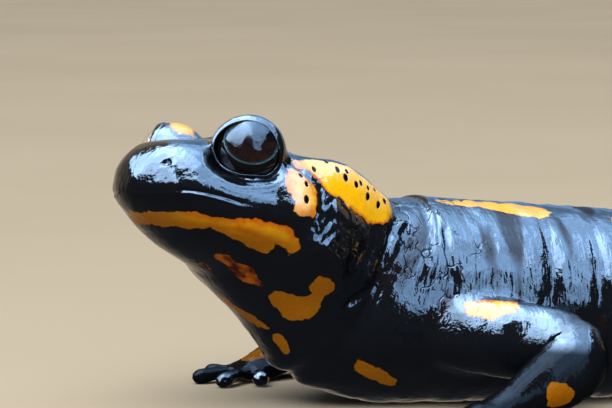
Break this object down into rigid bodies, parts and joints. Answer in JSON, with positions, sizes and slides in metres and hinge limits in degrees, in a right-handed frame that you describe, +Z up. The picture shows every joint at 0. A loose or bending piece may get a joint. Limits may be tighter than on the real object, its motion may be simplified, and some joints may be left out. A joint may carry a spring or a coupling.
{
  "type": "fire salamander",
  "caption": "Life-size still model of a black and yellow fire salamander resting on its belly with the head raised and turned to its left.",
  "frame": {"origin": "on the floor under the middle of the bounding box", "axes": "+Z up, the head points to -X and the tail to +X, the animal's left side faces -Y"},
  "size_m": [0.1844, 0.0676, 0.025],
  "materials": {
    "skin": "wet glossy black skin with orange-yellow markings",
    "eye": "wet dark brown eye with a black pupil"
  },
  "bodies": {
    "root": {"head": "skin", "lower_jaw": "skin", "eye_left": "eye", "eye_right": "eye", "neck": "skin", "torso_front": "skin", "torso_rear": "skin", "tail_base": "skin", "tail_middle": "skin", "tail_tip": "skin", "foreleg_left_upper": "skin", "foreleg_left_lower": "skin", "foreleg_left_foot": "skin", "foreleg_right_upper": "skin", "foreleg_right_lower": "skin", "foreleg_right_foot": "skin", "hindleg_left_upper": "skin", "hindleg_left_lower": "skin", "hindleg_left_foot": "skin", "hindleg_right_upper": "skin", "hindleg_right_lower": "skin", "hindleg_right_foot": "skin"}
  },
  "joints": []
}
